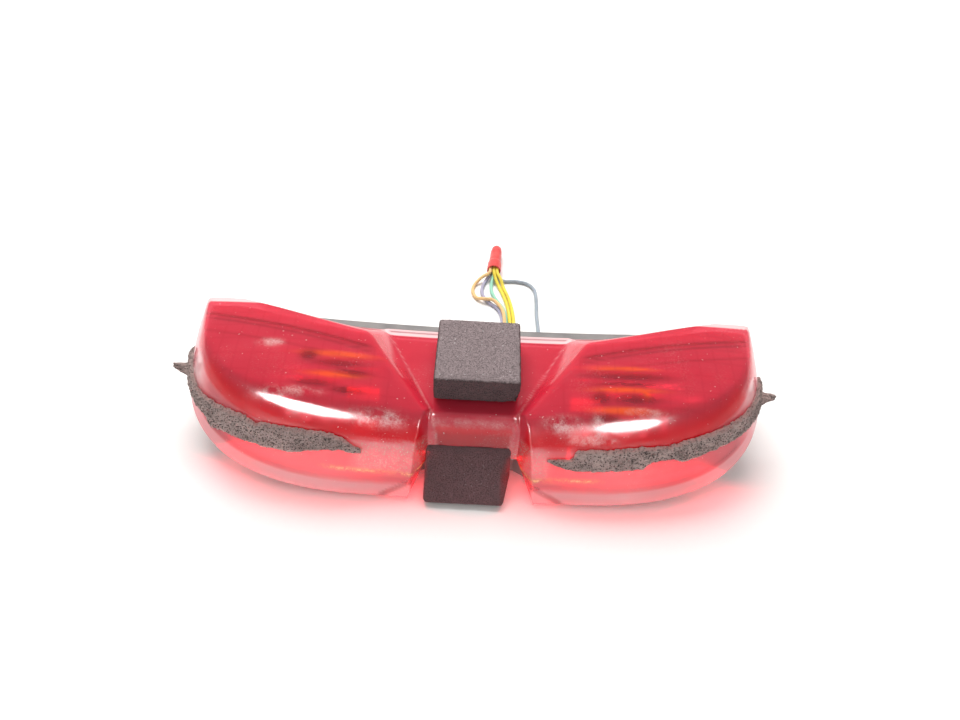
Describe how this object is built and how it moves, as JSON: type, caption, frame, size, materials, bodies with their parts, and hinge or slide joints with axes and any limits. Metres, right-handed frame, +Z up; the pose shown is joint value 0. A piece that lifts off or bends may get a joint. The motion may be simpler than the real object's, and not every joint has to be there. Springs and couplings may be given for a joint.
{
  "type": "twin-lobe stop and tail lamp",
  "caption": "Twin-lobe red stop and tail lamp for a motorcycle, with foam seals, twist-lock bulb holders and short leads ending in a splice cap.",
  "frame": {"origin": "middle of the lamp's base, on the surface that it lies on", "axes": "+X along the lamp's width to its right, +Y towards the side where the wires leave, +Z up out of the lens"},
  "size_m": [0.2448, 0.1691, 0.045],
  "materials": {
    "red_lens": "glossy transparent red lens plastic",
    "grey_housing": "moulded grey plastic",
    "black_rubber": "black rubber",
    "reflector_chrome": "vacuum metallised plastic",
    "steel": "zinc plated steel",
    "dark_plastic": "dark heat-resistant plastic",
    "brass": "plain brass",
    "phenolic": "brown phenolic board",
    "bulb_glass": "clear glass",
    "black_foam": "closed-cell black foam",
    "grey_foam": "aged crumbling grey foam",
    "white_tape": "double-sided foam tape",
    "black_sleeve": "black vinyl sleeving",
    "yellow_wire": "yellow wire insulation",
    "tan_wire": "tan wire insulation",
    "lilac_wire": "lilac grey wire insulation",
    "green_wire": "pale green wire insulation",
    "blue_wire": "blue grey wire insulation",
    "red_cap": "red closed-end cap"
  },
  "bodies": {
    "root": {"lens": "red_lens", "rear_housing": "grey_housing", "lens_seal": "black_rubber", "reflector_left": "reflector_chrome", "reflector_right": "reflector_chrome", "reflector_screws": "steel", "vent_caps": "black_rubber", "mount_lugs": "grey_housing", "mount_grommets": "black_rubber", "mount_collars": "steel", "main_grommet": "black_rubber", "small_grommet": "black_rubber", "foam_block_top": "black_foam", "block_tape": "white_tape", "foam_pad_lower": "black_foam", "foam_strip_left": "grey_foam", "foam_strip_right": "grey_foam", "lead_sleeve_left": "black_sleeve", "lead_sleeve_right": "black_sleeve", "blue_lead": "blue_wire", "yellow_wire_a": "yellow_wire", "yellow_wire_b": "yellow_wire", "tan_wire": "tan_wire", "lilac_wire": "lilac_wire", "green_wire": "green_wire", "blue_wire": "blue_wire", "splice_cap": "red_cap", "crimp_barrel": "steel"},
    "holder_unit_left": {"bulb_holder_left": "dark_plastic", "holder_seal_left": "black_rubber", "holder_sleeve_left": "brass", "contact_plate_left": "phenolic", "contact_spring_left": "steel", "bulb_base_left": "brass", "bulb_insulator_left": "dark_plastic", "bulb_contacts_left": "steel", "bulb_glass_left": "bulb_glass", "bulb_filaments_left": "steel"},
    "holder_unit_right": {"bulb_holder_right": "dark_plastic", "holder_seal_right": "black_rubber", "holder_sleeve_right": "brass", "contact_plate_right": "phenolic", "contact_spring_right": "steel", "bulb_base_right": "brass", "bulb_insulator_right": "dark_plastic", "bulb_contacts_right": "steel", "bulb_glass_right": "bulb_glass", "bulb_filaments_right": "steel"}
  },
  "joints": [
    {"name": "holder_twist_left", "type": "hinge", "parent": "root", "child": "holder_unit_left", "pos_m": [-0.03, 0.004, 0.0146], "axis": [-1, 0, 0], "range_deg": [0, 45]},
    {"name": "holder_twist_right", "type": "hinge", "parent": "root", "child": "holder_unit_right", "pos_m": [0.03, 0.004, 0.0146], "axis": [1, 0, 0], "range_deg": [0, 45]}
  ]
}
